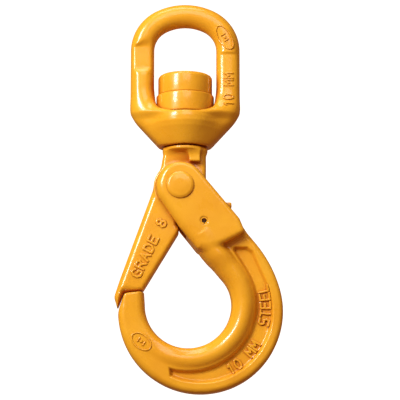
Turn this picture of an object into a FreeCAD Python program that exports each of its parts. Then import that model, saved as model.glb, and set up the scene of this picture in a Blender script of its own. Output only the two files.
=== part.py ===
"""Swivel self-locking hook for 10 mm lifting chain, as a parametric FreeCAD document.

The hook hangs from the crown of its swivel link. The whole document is in one frame, in millimetres:
  origin  the bearing point, on the swivel axis at the inside of the link's crown
  +Z      up along the swivel axis
  +X      from the gate side towards the back of the hook
  +Y      through the thickness; the marked front face looks towards -Y

A ball thrust bearing carries the gate forging's shank in the link. The hook body hangs on the gate
forging by the load pin and swings about it to open; a sprung trigger between its cheeks locks it.
"""

import FreeCAD
import Part
import math
import os
import Sketcher

Vec = FreeCAD.Vector

DRIVING = [
    # swivel link: a bent bar with a forged boss
    ("bar_radius", 7.95),
    ("leg_offset", 28.9),
    ("crown_radius", 36.0),
    ("shoulder_radius", 23.0),
    ("root_radius", 14.0),
    ("root_z", -55.0),
    ("boss_top", -61.6),
    ("boss_bottom", -83.6),
    ("boss_foot_radius", 16.0),
    ("boss_rim_radius", 22.4),
    ("spotface_radius", 20.0),
    # swivel shank, thrust bearing, cover and nut
    ("shank_radius", 9.5),
    ("thread_radius", 9.0),
    ("running_gap", 0.06),
    ("race_bore_radius", 10.3),
    ("race_outer_radius", 16.6),
    ("race_height", 3.4),
    ("ball_z", -56.5),
    ("ball_radius", 2.4),
    ("ball_pitch_radius", 13.5),
    ("ball_count", 15),
    ("cage_half_height", 0.7),
    ("cover_radius", 19.4),
    ("cover_wall", 1.3),
    ("cover_foot", -61.2),
    ("plate_bottom", -51.4),
    ("nut_bottom", -48.2),
    ("nut_top", -34.2),
    ("nut_radius", 18.2),
    ("shank_top", -33.6),
    ("lock_pin_z", -41.2),
    ("lock_pin_radius", 2.0),
    ("lock_pin_bore_radius", 1.1),
    # gate forging
    ("collar_top", -84.3),
    ("collar_foot", -86.5),
    ("neck_foot", -91.4),
    ("collar_radius", 14.1),
    ("blade_half_thickness", 6.9),
    ("blade_disc_radius", 17.75),
    ("pivot_x", -3.2),
    ("pivot_z", -111.5),
    ("lug_half_depth", 11.0),
    ("gate_round", 2.2),
    # hook body
    ("slot_half_width", 7.25),
    ("slot_floor_depth", 10.5),
    ("cheek_half_thickness", 15.0),
    ("cheek_radius", 16.04),
    ("cheek_round", 3.6),
    ("bar_lean", 39.5),
    ("bowl_x", 2.1),
    ("bowl_z", -189.8),
    ("bowl_radius", 28.5),
    ("rim_x", 10.3),
    ("rim_z", -194.0),
    ("rim_radius", 54.3),
    ("back_offset", 14.7),
    ("back_blend_start", 15.0),
    ("rim_half_thickness", 8.0),
    ("rim_round", 2.4),
    ("panel_half_thickness", 6.5),
    ("panel_inner_radius", 43.4),
    ("panel_rim_width", 6.4),
    ("panel_run_in", 9.5),
    ("panel_run_out", 1.5),
    ("load_pin_radius", 7.0),
    ("load_pin_head_radius", 9.1),
    ("load_pin_head_height", 2.2),
    # trigger, its pin and its spring
    ("trigger_x", 12.6),
    ("trigger_z", -135.4),
    ("trigger_half_width", 6.8),
    ("trigger_pin_radius", 2.5),
    ("trigger_pin_bore_radius", 1.6),
    ("trigger_pin_half_length", 14.6),
    ("spring_wire_radius", 0.55),
    ("spring_coil_radius", 3.6),
    ("spring_well_half", 3.1),
    ("spring_well_reach", 4.9),
    ("spring_well_depth", 12.0),
]
WORDS = {alias for alias, value in DRIVING}


def new_document():
    document = FreeCAD.newDocument("swivel_hook")
    table = document.addObject("Spreadsheet::Sheet", "dims")
    for row, (alias, value) in enumerate(DRIVING, start=1):
        table.set(f"A{row}", alias)
        table.set(f"B{row}", str(value))
        table.setAlias(f"B{row}", alias)
    document.recompute()
    return document, table


doc, sheet = new_document()


def dim(alias):
    return float(sheet.get(alias))


def number(formula):
    """The value of a sum of sheet aliases and plain numbers, such as 'bar_radius + 0.5'."""
    total = 0.0
    sign = 1.0
    for word in formula.split():
        if word in ("+", "-"):
            sign = 1.0 if word == "+" else -1.0
        else:
            total += sign * (dim(word) if word in WORDS else float(word))
            sign = 1.0
    return total


def linked(formula):
    """The same sum written as an expression on the sheet."""
    return " ".join(f"dims.{word}" if word in WORDS else word for word in formula.split())


# ---------------------------------------------------------------- outlines


def flat(x, z):
    """A point of an outline in its sketch: x across, z up."""
    return Vec(x, z, 0)


def on_circle(centre, radius, degrees):
    turn = math.radians(degrees)
    return centre + Vec(radius * math.cos(turn), radius * math.sin(turn), 0)


def straight(a, b):
    return Part.LineSegment(a, b)


def bend(centre, radius, start, end):
    """The arc that sweeps from start to end degrees, either way round."""
    middle = on_circle(centre, radius, (start + end) / 2)
    return Part.Arc(on_circle(centre, radius, start), middle, on_circle(centre, radius, end))


def rounded(corners):
    """A closed outline through (x, z, radius) corners, each rounded by a tangent arc."""
    count = len(corners)
    points = [flat(x, z) for x, z, radius in corners]
    pieces = []
    entries = []
    exits = []
    for i, (x, z, radius) in enumerate(corners):
        back = (points[i - 1] - points[i]).normalize()
        ahead = (points[(i + 1) % count] - points[i]).normalize()
        half = back.getAngle(ahead) / 2
        reach = radius / math.tan(half)
        entries.append(points[i] + back * reach)
        exits.append(points[i] + ahead * reach)
        if radius:
            middle = (back + ahead).normalize() * (radius / math.sin(half) - radius)
            pieces.append(Part.Arc(entries[i], points[i] + middle, exits[i]))
    for i in range(count):
        pieces.append(straight(exits[i], entries[(i + 1) % count]))
    return pieces


def upright(point):
    """An outline point stood up in the XZ plane."""
    return Vec(point.x, 0, point.y)


def slab(pieces, half):
    """A closed outline made solid, reaching half each way in Y."""
    wire = Part.Wire(Part.__sortEdges__([piece.toShape() for piece in pieces]))
    face = Part.Face(wire)
    face.rotate(Vec(0, 0, 0), Vec(1, 0, 0), 90)
    face.translate(Vec(0, half, 0))
    return face.extrude(Vec(0, -2 * half, 0))


def rounded_slab(pieces, half, radius):
    """A slab with its outline edges rounded over on both faces."""
    block = slab(pieces, half)
    edges = [edge for edge in block.Edges if abs(abs(edge.CenterOfMass.y) - half) < 1e-6]
    return block.makeFillet(radius, edges)


def cross_rod(centre, radius, half):
    """A cylinder through the thickness, about an outline point."""
    return Part.makeCylinder(radius, 2 * half, Vec(centre.x, -half, centre.y), Vec(0, 1, 0))


# ---------------------------------------------------------------- PartDesign steps


def new_body(label):
    body = doc.addObject("PartDesign::Body", label)
    body.Label = label
    return body


def add_sketch(body, name, role, pieces, lift=0.0):
    """A sketch of ready-made outline pieces on one of the body's origin planes."""
    sketch = body.newObject("Sketcher::SketchObject", name)
    plane = next(item for item in body.Origin.OriginFeatures if item.Role == role)
    sketch.AttachmentSupport = (plane, [""])
    sketch.MapMode = "FlatFace"
    sketch.AttachmentOffset = FreeCAD.Placement(Vec(0, 0, lift), FreeCAD.Rotation())
    for piece in pieces:
        sketch.addGeometry(piece)
    return sketch


def ring_sketch(body, name, outline):
    """A closed profile beside the V axis whose every corner is driven from the sheet."""
    rough = [(number(radius), number(height)) for radius, height in outline]
    count = len(outline)
    sides = [straight(flat(*rough[i]), flat(*rough[(i + 1) % count])) for i in range(count)]
    sketch = add_sketch(body, name, "XZ_Plane", sides)
    for i in range(count):
        sketch.addConstraint(Sketcher.Constraint("Coincident", i, 2, (i + 1) % count, 1))
    for i, corner in enumerate(outline):
        for kind, formula in zip(("DistanceX", "DistanceY"), corner):
            rule = Sketcher.Constraint(kind, -1, 1, i, 1, number(formula))
            index = sketch.addConstraint(rule)
            title = f"{kind}_{i}"
            sketch.renameConstraint(index, title)
            sketch.setExpression(f"Constraints.{title}", linked(formula))
    return sketch


def turn(body, name, sketch, kind="Revolution"):
    step = body.newObject("PartDesign::" + kind, name)
    step.Profile = sketch
    step.ReferenceAxis = (sketch, ["V_Axis"])
    step.Angle = 360
    doc.recompute()
    return step


def through(body, name, sketch, length, kind="Pad"):
    """A Pad or Pocket that reaches length / 2 each side of its sketch."""
    step = body.newObject("PartDesign::" + kind, name)
    step.Profile = sketch
    step.SideType = "Symmetric"
    step.Length = number(length)
    step.setExpression("Length", "2 * (" + linked(length) + ")")
    doc.recompute()
    return step


def pipe(body, name, profile, spine):
    step = body.newObject("PartDesign::AdditivePipe", name)
    step.Profile = profile
    step.Spine = (spine, [f"Edge{i + 1}" for i in range(spine.GeometryCount)])
    doc.recompute()
    return step


def round_over(body, name, step, half, radius, wanted):
    """Rounds those outline edges of a through step's two faces that the wanted test accepts."""
    names = []
    for i, edge in enumerate(step.Shape.Edges, start=1):
        if abs(abs(edge.CenterOfMass.y) - number(half)) < 1e-4 and wanted(edge):
            names.append(f"Edge{i}")
    fillet = body.newObject("PartDesign::Fillet", name)
    fillet.Base = (step, names)
    fillet.Radius = number(radius)
    fillet.setExpression("Radius", linked(radius))
    doc.recompute()
    return fillet


def stand_across(body, x_word, z_word):
    """Turns a body's own Z axis to the Y direction and sets it on a cross-pin's axis."""
    body.Placement = FreeCAD.Placement(Vec(0, 0, 0), FreeCAD.Rotation(Vec(1, 0, 0), -90))
    body.setExpression("Placement.Base.x", linked(x_word))
    body.setExpression("Placement.Base.z", linked(z_word))
    doc.recompute()


def add_solid(label, shape, x_word, z_word):
    """A boolean-built solid whose Placement is the sheet's point (x_word, z_word)."""
    home = FreeCAD.Matrix()
    home.move(Vec(-number(x_word), 0, -number(z_word)))
    shape.transformShape(home, True)
    feature = doc.addObject("Part::Feature", label)
    feature.Shape = shape
    feature.Label = label
    feature.setExpression("Placement.Base.x", linked(x_word))
    feature.setExpression("Placement.Base.z", linked(z_word))
    doc.recompute()
    return feature


PIVOT = flat(dim("pivot_x"), dim("pivot_z"))
TRIGGER = flat(dim("trigger_x"), dim("trigger_z"))
BOWL = flat(dim("bowl_x"), dim("bowl_z"))
RIM = flat(dim("rim_x"), dim("rim_z"))

# The bar between the cheeks and the bowl runs down and back: DOWN is its direction and OUT points
# from the bowl side of the bar to its back.
LEAN = dim("bar_lean")
DOWN = on_circle(flat(0, 0), 1, LEAN - 90)
OUT = on_circle(flat(0, 0), 1, LEAN)


# ---------------------------------------------------------------- swivel link


def build_link():
    body = new_body("swivel_link")
    bar = dim("bar_radius")
    leg = dim("leg_offset")
    crown = dim("crown_radius")
    shoulder = dim("shoulder_radius")
    root = dim("root_radius")
    root_z = dim("root_z")
    crown_centre = flat(0, bar - crown)
    side = leg - shoulder
    rise = math.sqrt((crown - shoulder) ** 2 - side ** 2)
    shoulder_z = crown_centre.y + rise
    tangent = math.degrees(math.atan2(rise, side))

    arch = [
        straight(flat(-leg, root_z), flat(-leg, shoulder_z)),
        bend(flat(-side, shoulder_z), shoulder, 180, 180 - tangent),
        bend(crown_centre, crown, 180 - tangent, tangent),
        bend(flat(side, shoulder_z), shoulder, tangent, 0),
        straight(flat(leg, shoulder_z), flat(leg, root_z)),
    ]
    section = [Part.Circle(flat(-leg, 0), Vec(0, 0, 1), bar)]
    profile = add_sketch(body, "leg_section", "XY_Plane", section, root_z)
    pipe(body, "arch", profile, add_sketch(body, "arch_line", "XZ_Plane", arch))

    for name, hand in (("left_root", -1), ("right_root", 1)):
        centre = flat(hand * (leg - root), root_z)
        start = 90 - hand * 90
        elbow = bend(centre, root, start, start - hand * 45)
        foot = flat(hand * 14, elbow.EndPoint.y - abs(elbow.EndPoint.x) + 14)
        runs = add_sketch(body, name + "_line", "XZ_Plane", [elbow, straight(elbow.EndPoint, foot)])
        section = [Part.Circle(flat(hand * leg, 0), Vec(0, 0, 1), bar)]
        profile = add_sketch(body, name + "_section", "XY_Plane", section, root_z)
        pipe(body, name, profile, runs)

    boss = ring_sketch(body, "boss_profile", [
        ("0", "boss_top"),
        ("boss_rim_radius - 1.6", "boss_top"),
        ("boss_rim_radius - 0.4", "boss_top - 1.0"),
        ("boss_rim_radius", "boss_top - 2.6"),
        ("boss_rim_radius - 0.4", "boss_top - 5.0"),
        ("boss_foot_radius + 0.6", "boss_bottom + 0.8"),
        ("boss_foot_radius - 0.2", "boss_bottom"),
        ("0", "boss_bottom"),
    ])
    turn(body, "boss", boss)
    clearance = ring_sketch(body, "machining_profile", [
        ("0", "boss_top + 16"),
        ("spotface_radius", "boss_top + 16"),
        ("spotface_radius", "boss_top"),
        ("shank_radius + running_gap", "boss_top"),
        ("shank_radius + running_gap", "boss_bottom"),
        ("boss_rim_radius + 8", "boss_bottom"),
        ("boss_rim_radius + 8", "boss_bottom - 12"),
        ("0", "boss_bottom - 12"),
    ])
    turn(body, "machining", clearance, "Groove")


# ---------------------------------------------------------------- bearing, cover and nut


def build_race(label, low, high, bore):
    body = new_body(label)
    ring = ring_sketch(body, label + "_profile", [
        (bore, low),
        ("race_outer_radius", low),
        ("race_outer_radius", high),
        (bore, high),
    ])
    turn(body, label + "_ring", ring)
    centre = flat(dim("ball_pitch_radius"), dim("ball_z"))
    circle = Part.Circle(centre, Vec(0, 0, 1), number("ball_radius + running_gap"))
    track = add_sketch(body, label + "_track_profile", "XZ_Plane", [circle])
    turn(body, label + "_track", track, "Groove")


def build_cage():
    body = new_body("bearing_cage")
    ring = ring_sketch(body, "cage_profile", [
        ("race_bore_radius + 0.6", "ball_z - cage_half_height"),
        ("race_outer_radius - 0.4", "ball_z - cage_half_height"),
        ("race_outer_radius - 0.4", "ball_z + cage_half_height"),
        ("race_bore_radius + 0.6", "ball_z + cage_half_height"),
    ])
    turn(body, "cage_ring", ring)
    hole = Part.Circle(flat(dim("ball_pitch_radius"), 0), Vec(0, 0, 1), dim("ball_radius") + 0.1)
    sketch = add_sketch(body, "pocket_circle", "XY_Plane", [hole], dim("ball_z"))
    pocket = through(body, "ball_pocket", sketch, "cage_half_height + 1", "Pocket")
    pattern = body.newObject("PartDesign::PolarPattern", "ball_pockets")
    pattern.Originals = [pocket]
    axis = next(item for item in body.Origin.OriginFeatures if item.Role == "Z_Axis")
    pattern.Axis = (axis, [""])
    pattern.Angle = 360
    pattern.Occurrences = int(dim("ball_count"))
    pattern.setExpression("Occurrences", "dims.ball_count")
    body.Tip = pattern
    doc.recompute()


def build_balls():
    count = int(dim("ball_count"))
    balls = []
    for i in range(count):
        spot = on_circle(flat(0, 0), dim("ball_pitch_radius"), 360 * i / count)
        balls.append(Part.makeSphere(dim("ball_radius"), spot))
    feature = doc.addObject("Part::Feature", "bearing_balls")
    feature.Shape = Part.makeCompound(balls)
    feature.Label = "bearing_balls"
    feature.setExpression("Placement.Base.z", "dims.ball_z")
    doc.recompute()


def build_cover():
    body = new_body("bearing_cover")
    cup = ring_sketch(body, "cover_profile", [
        ("thread_radius + running_gap", "plate_bottom"),
        ("cover_radius - cover_wall", "plate_bottom"),
        ("cover_radius - cover_wall", "cover_foot"),
        ("cover_radius", "cover_foot"),
        ("cover_radius", "nut_bottom - 0.8"),
        ("cover_radius - 0.8", "nut_bottom"),
        ("thread_radius + running_gap", "nut_bottom"),
    ])
    turn(body, "cover_cup", cup)


def cross_hole(body, name, radius, reach):
    """A hole along X through a turned part, for the nut's lock pin."""
    circle = Part.Circle(flat(0, dim("lock_pin_z")), Vec(0, 0, 1), number(radius))
    sketch = add_sketch(body, name + "_circle", "YZ_Plane", [circle])
    through(body, name, sketch, reach, "Pocket")


def build_nut():
    body = new_body("swivel_nut")
    ring = ring_sketch(body, "nut_profile", [
        ("thread_radius + running_gap", "nut_bottom"),
        ("nut_radius - 0.8", "nut_bottom"),
        ("nut_radius", "nut_bottom + 0.8"),
        ("nut_radius", "nut_top - 3.2"),
        ("nut_radius - 0.8", "nut_top - 1.3"),
        ("nut_radius - 2.8", "nut_top"),
        ("thread_radius + running_gap", "nut_top"),
    ])
    turn(body, "nut_ring", ring)
    cross_hole(body, "nut_pin_hole", "lock_pin_radius + 0.02", "nut_radius + 2")


def build_lock_pin():
    body = new_body("nut_lock_pin")
    centre = flat(0, dim("lock_pin_z"))
    circles = [Part.Circle(centre, Vec(0, 0, 1), dim(r)) for r in
               ("lock_pin_radius", "lock_pin_bore_radius")]
    sketch = add_sketch(body, "pin_ring", "YZ_Plane", circles)
    through(body, "pin_tube", sketch, "nut_radius - 0.4")


# ---------------------------------------------------------------- gate forging


def on_gate_outside(edge):
    """True for the gate's outer side and nose, and for its long inner edge."""
    spot = edge.CenterOfMass
    return spot.x < 0.35 * spot.z + 23 or edge.Length > 40


def build_gate():
    body = new_body("gate_shank")
    leg = rounded([
        (14.0, -85.4, 0),
        (14.0, -108.5, 1),
        (2.0, -112.0, 1),
        (-5.4, -128.6, 0),
        (-5.4, -136.8, 2),
        (-2.9, -139.6, 0),
        (-27.5, -180.4, 0),
        (-40.2, -182.0, 2.0),
        (-43.9, -191.5, 0),
        (-44.6, -191.8, 0),
        (-46.7, -184.8, 5),
        (-43.2, -174.0, 30),
        (-23.4, -118.6, 30),
        (-16.2, -97.4, 12),
        (-14.1, -85.4, 0),
    ])
    sketch = add_sketch(body, "gate_outline", "XZ_Plane", leg)
    pad = through(body, "gate_leg", sketch, "blade_half_thickness")
    round_over(body, "gate_edges", pad, "blade_half_thickness", "gate_round", on_gate_outside)
    disc = [Part.Circle(PIVOT, Vec(0, 0, 1), dim("blade_disc_radius"))]
    sketch = add_sketch(body, "disc_outline", "XZ_Plane", disc)
    through(body, "blade_disc", sketch, "blade_half_thickness")
    lug = rounded([(2.7, -87.2, 0), (10.1, -87.2, 0), (10.1, -94.8, 1.2), (2.7, -94.8, 1.2)])
    sketch = add_sketch(body, "lug_outline", "XZ_Plane", lug)
    through(body, "stop_lug", sketch, "lug_half_depth")

    shank = ring_sketch(body, "shank_profile", [
        ("0", "shank_top"),
        ("thread_radius - 0.9", "shank_top"),
        ("thread_radius", "shank_top - 0.9"),
        ("thread_radius", "plate_bottom"),
        ("shank_radius", "plate_bottom"),
        ("shank_radius", "collar_top"),
        ("collar_radius - 0.5", "collar_top"),
        ("collar_radius", "collar_top - 0.5"),
        ("collar_radius", "collar_foot"),
        ("blade_half_thickness", "neck_foot"),
        ("0", "neck_foot"),
    ])
    turn(body, "shank", shank)

    tooth = dim("blade_disc_radius") - 3.2
    beyond = dim("blade_disc_radius") + 0.6
    notch = [
        bend(PIVOT, tooth, -92, -71),
        straight(on_circle(PIVOT, tooth, -71), on_circle(PIVOT, beyond, -71)),
        bend(PIVOT, beyond, -71, -92),
        straight(on_circle(PIVOT, beyond, -92), on_circle(PIVOT, tooth, -92)),
    ]
    sketch = add_sketch(body, "notch_outline", "XZ_Plane", notch)
    through(body, "lock_notch", sketch, "blade_half_thickness + 1", "Pocket")
    bore = [Part.Circle(PIVOT, Vec(0, 0, 1), number("load_pin_radius + running_gap"))]
    sketch = add_sketch(body, "bore_circle", "XZ_Plane", bore)
    through(body, "load_pin_bore", sketch, "blade_half_thickness + 1", "Pocket")
    cross_hole(body, "shank_pin_hole", "lock_pin_radius + 0.02", "thread_radius + 2")


# ---------------------------------------------------------------- hook body


def back_outline(inset):
    """The hook's back and belly, moved in by inset: straight bar, blend arc, rim arc.

    The straight run lies back_offset from the pivot, and the blend arc ends on the rim's circle at
    the angle back_blend_start, where the rest of the outline goes on.
    """
    offset = dim("back_offset")
    bar = (PIVOT - RIM).dot(OUT) + offset
    start = dim("back_blend_start")
    fold = math.cos(math.radians(LEAN - start))
    radius = (bar - dim("rim_radius") * fold) / (1 - fold)
    centre = on_circle(RIM, dim("rim_radius") - radius, start)
    top = PIVOT + OUT * (offset - inset)
    return [
        straight(top, on_circle(centre, radius - inset, LEAN)),
        bend(centre, radius - inset, LEAN, start),
    ]


def web_outline():
    """The flat web and rim, from the cheeks round the belly to above the tip and back in the bead."""
    inner = dim("bowl_radius") + 3
    heel = on_circle(RIM, dim("rim_radius"), 178)
    lip = [heel, flat(-43.6, -181.0), flat(-30.0, -179.0), on_circle(BOWL, inner, 166)]
    inner_top = on_circle(BOWL, inner, LEAN) - DOWN * 30
    pieces = back_outline(0)
    pieces.append(bend(RIM, dim("rim_radius"), dim("back_blend_start"), 178 - 360))
    pieces += [straight(lip[i], lip[i + 1]) for i in range(3)]
    pieces.append(bend(BOWL, inner, 166 - 360, LEAN))
    pieces.append(straight(on_circle(BOWL, inner, LEAN), inner_top))
    pieces.append(straight(inner_top, pieces[0].StartPoint))
    return pieces


def panel_outline():
    """The recessed panel between the bead's wall and the rim, from below the cheeks to the keel."""
    inset = dim("panel_rim_width")
    inner = dim("panel_inner_radius")
    outer = dim("rim_radius") - inset
    back = back_outline(inset)
    top_out = back[0].EndPoint - DOWN * dim("panel_run_out")
    top_in = on_circle(BOWL, inner, LEAN) - DOWN * dim("panel_run_in")
    keel_out = flat(-11.5, RIM.y - math.sqrt(outer ** 2 - (RIM.x + 11.5) ** 2))
    keel_in = flat(-11.5, BOWL.y - math.sqrt(inner ** 2 - (BOWL.x + 11.5) ** 2))
    keel_out_angle = math.degrees(math.atan2(keel_out.y - RIM.y, keel_out.x - RIM.x))
    keel_in_angle = math.degrees(math.atan2(keel_in.y - BOWL.y, keel_in.x - BOWL.x))
    return [
        straight(top_in, top_out),
        straight(top_out, back[1].StartPoint),
        back[1],
        bend(RIM, outer, dim("back_blend_start"), keel_out_angle),
        straight(keel_out, keel_in),
        bend(BOWL, inner, keel_in_angle, LEAN),
        straight(on_circle(BOWL, inner, LEAN), top_in),
    ]


def bead_section(angle, inner, half_width, half_height, shift):
    """An elliptical wire across the bead, from the inner radius about BOWL, moved by shift."""
    along = on_circle(flat(0, 0), 1, angle)
    centre = BOWL + along * (inner + half_width) + shift
    wide = upright(along) * half_width
    facing = FreeCAD.Matrix(
        0, wide.x, -wide.z, centre.x,
        half_height, 0, 0, 0,
        0, wide.z, wide.x, centre.y,
        0, 0, 0, 1)
    return Part.Wire(Part.makeCircle(1)).transformGeometry(facing)


def build_bead():
    """The round load-bearing bead: highest under the cheeks, lowest where it becomes the tip.

    It runs down the bar, round the bowl and up to the tip. Between the angles in shapes, where
    (inner radius, half width, half height) are given, all three change evenly.
    """
    bowl = dim("bowl_radius")
    start = (LEAN, bowl - 1.0, 8.9, 12.8)
    shapes = [start, (14, bowl, 8.7, 12.4), (-80, bowl, 8.4, 10.6), (-125, bowl, 8.2, 8.6)]
    shapes.append((-182, bowl, 8.2, 7.7))
    spacing = 8
    sections = [bead_section(*start, OUT * (0.04 * up) - DOWN * up) for up in (24, 18, 12, 6)]
    for first, last in zip(shapes, shapes[1:]):
        steps = round((first[0] - last[0]) / spacing)
        for i in range(steps):
            share = i / steps
            mixed = [a + (b - a) * share for a, b in zip(first, last)]
            sections.append(bead_section(*mixed, flat(0, 0)))
    for rise in (0, 5, 11):
        sections.append(bead_section(*shapes[-1], flat(-0.07 * rise, rise)))
    return Part.makeLoft(sections, True, False)


def cheek_outline():
    """One cheek: round about the pivot, straight down the bar, and cut off across it."""
    radius = dim("cheek_radius")
    foot = [
        PIVOT + DOWN * 22 - OUT * 18.0,
        PIVOT + DOWN * 40.4 - OUT * 18.2,
        flat(12.6, -154.5),
        flat(17.8, -153.6),
        flat(23.7, -151.5),
        flat(32.9, -146.4),
        flat(39.6, -142.6),
        PIVOT + DOWN * 42 + OUT * 16.1,
        PIVOT + OUT * radius,
    ]
    pieces = [bend(PIVOT, radius, LEAN, LEAN + 180), straight(PIVOT - OUT * radius, foot[0])]
    pieces += [straight(a, b) for a, b in zip(foot, foot[1:])]
    return pieces


def build_hook():
    web = rounded_slab(web_outline(), dim("rim_half_thickness"), dim("rim_round"))
    depth = dim("rim_half_thickness") - dim("panel_half_thickness")
    cheeks = rounded_slab(cheek_outline(), dim("cheek_half_thickness"), dim("cheek_round"))
    hook = web
    for side in (-1, 1):
        panel = slab(panel_outline(), depth)
        panel.translate(Vec(0, side * dim("rim_half_thickness"), 0))
        hook = hook.cut(panel)
    hook = hook.fuse([build_bead(), cheeks])

    floor = TRIGGER + DOWN * dim("slot_floor_depth")
    slot = [flat(-70, -144), flat(18.6, -144), floor + OUT * 40, flat(60, -70), flat(-70, -70)]
    sides = [straight(slot[i - 1], slot[i]) for i in range(len(slot))]
    above_tip = slab(rounded([
        (-60.0, -150.0, 0),
        (-20.0, -150.0, 0),
        (-20.0, -180.0, 0),
        (-27.4, -180.95, 0),
        (-39.7, -182.55, 1.6),
        (-43.3, -191.9, 0),
        (-44.4, -195.5, 0),
        (-60.0, -200.0, 0),
    ]), 20)
    bores = [
        cross_rod(PIVOT, dim("load_pin_radius") + 0.02, 20),
        cross_rod(TRIGGER, dim("trigger_pin_radius") + 0.02, 20),
    ]
    for tool in [above_tip, slab(sides, dim("slot_half_width"))] + bores:
        hook = hook.cut(tool)
    add_solid("hook_body", hook, "pivot_x", "pivot_z")


# ---------------------------------------------------------------- pins and trigger


def build_load_pin():
    """The riveted load pin, turned about its own axis; its heads are low domes."""
    body = new_body("load_pin")
    cheek = "cheek_half_thickness"
    head = "load_pin_head_radius"
    half = [
        ("load_pin_radius", cheek),
        (head + " - 0.4", cheek),
        (head, cheek + " + 0.5"),
        (head + " - 1.0", cheek + " + 1.2"),
        (head + " - 3.4", cheek + " + 1.9"),
        (head + " - 6.4", cheek + " + load_pin_head_height"),
        ("0", cheek + " + load_pin_head_height"),
    ]
    other = [(radius, "0 - " + height.replace("+", "-")) for radius, height in reversed(half)]
    profile = ring_sketch(body, "load_pin_profile", half + other)
    turn(body, "load_pin_turning", profile)
    stand_across(body, "pivot_x", "pivot_z")


def build_trigger_pin():
    """A slotted spring pin: a tube with one slit, which faces down."""
    body = new_body("trigger_pin")
    outer = dim("trigger_pin_radius")
    inner = dim("trigger_pin_bore_radius")
    origin = flat(0, 0)
    start = 98
    end = 442
    ring = [
        bend(origin, outer, start, end),
        straight(on_circle(origin, outer, end), on_circle(origin, inner, end)),
        bend(origin, inner, end, start),
        straight(on_circle(origin, inner, start), on_circle(origin, outer, start)),
    ]
    sketch = add_sketch(body, "split_ring", "XY_Plane", ring)
    through(body, "split_tube", sketch, "trigger_pin_half_length")
    stand_across(body, "trigger_x", "trigger_z")


def build_trigger():
    body = new_body("trigger")
    arms = rounded([
        (-2.8, -130.0, 0.8),
        (2.6, -129.2, 0.8),
        (5.6, -131.2, 2),
        (10.6, -129.6, 2),
        (17.0, -129.6, 3),
        (23.6, -121.7, 2),
        (30.8, -121.7, 0.9),
        (31.0, -124.4, 1),
        (29.0, -128.4, 4),
        (18.4, -139.0, 4),
        (9.0, -141.4, 3),
        (2.0, -134.8, 4),
        (-2.8, -133.4, 0.8),
    ])
    sketch = add_sketch(body, "trigger_outline", "XZ_Plane", arms)
    through(body, "trigger_arms", sketch, "trigger_half_width")
    bore = [Part.Circle(TRIGGER, Vec(0, 0, 1), number("trigger_pin_radius + running_gap"))]
    sketch = add_sketch(body, "trigger_bore", "XZ_Plane", bore)
    through(body, "trigger_pin_bore", sketch, "trigger_half_width + 1", "Pocket")
    reach = dim("spring_well_reach")
    foot = TRIGGER + DOWN * dim("spring_well_depth")
    head = TRIGGER - DOWN * reach
    well = [head - OUT * reach, head + OUT * reach, foot + OUT * reach, foot - OUT * reach]
    sides = [straight(well[i], well[(i + 1) % 4]) for i in range(4)]
    sketch = add_sketch(body, "spring_well", "XZ_Plane", sides)
    through(body, "spring_pocket", sketch, "spring_well_half", "Pocket")


def build_spring():
    """A torsion spring: a close coil on the pin, one leg on the hook, one on the trigger."""
    radius = dim("spring_coil_radius")
    wire = dim("spring_wire_radius")
    turns = 4
    pitch = 2 * wire + 0.12
    steps = 16 * turns
    low = -turns * pitch / 2
    line = []
    foot = upright(TRIGGER + DOWN * 9.6 + OUT * radius)
    line.append(foot + Vec(0, low, 0))
    line.append(foot - upright(DOWN * 4.8) + Vec(0, low, 0))
    for i in range(steps + 1):
        spot = on_circle(TRIGGER, radius, LEAN + 360 * turns * i / steps)
        line.append(upright(spot) + Vec(0, low + pitch * turns * i / steps, 0))
    rest = upright(TRIGGER + OUT * (radius + 0.5) - DOWN * 4.2)
    line.append(rest + Vec(0, -low, 0))
    curve = Part.BSplineCurve()
    curve.interpolate(line)
    spine = Part.Wire(curve.toShape())
    along = curve.tangent(curve.FirstParameter)[0]
    ring = Part.Wire(Part.Circle(line[0], along, wire).toShape())
    shape = spine.makePipeShell([ring], True, False)
    add_solid("trigger_spring", shape, "trigger_x", "trigger_z")


# ---------------------------------------------------------------- document, checks and export


def build_all():
    build_link()
    build_race("bearing_race_lower", "boss_top", "boss_top + race_height", "race_bore_radius")
    build_race("bearing_race_upper", "plate_bottom - race_height", "plate_bottom",
               "shank_radius + running_gap")
    build_cage()
    build_balls()
    build_cover()
    build_nut()
    build_lock_pin()
    build_gate()
    build_hook()
    build_load_pin()
    build_trigger()
    build_trigger_pin()
    build_spring()


NODES = ["swivel_link", "bearing_race_lower", "bearing_race_upper", "bearing_cage",
         "bearing_balls", "bearing_cover", "swivel_nut", "nut_lock_pin", "gate_shank",
         "hook_body", "load_pin", "trigger", "trigger_pin", "trigger_spring"]


def main():
    build_all()
    doc.recompute()
    for item in doc.Objects:
        faults = [word for word in item.State if word in ("Invalid", "Error")]
        if faults:
            raise RuntimeError(f"{item.Name} did not recompute: {faults}")
    os.makedirs("parts", exist_ok=True)
    for label in NODES:
        shape = doc.getObject(label).Shape
        if shape.isNull() or not shape.isValid():
            raise RuntimeError(f"{label} has no valid shape")
        shape.exportStep(f"parts/{label}.step")
        box = shape.BoundBox
        print(f"{label}: {len(shape.Solids)} solid(s), volume {shape.Volume:.0f}, "
              f"x {box.XMin:.1f}..{box.XMax:.1f}, y {box.YMin:.1f}..{box.YMax:.1f}, "
              f"z {box.ZMin:.1f}..{box.ZMax:.1f}")


main()
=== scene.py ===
"""Self-locking swivel hook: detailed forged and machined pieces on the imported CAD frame.

Forgings are distance fields (in millimetres, same axes as the CAD), turned into smooth meshes by a
surface net whose corners are then slid onto the field's zero surface.
"""

import math

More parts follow.
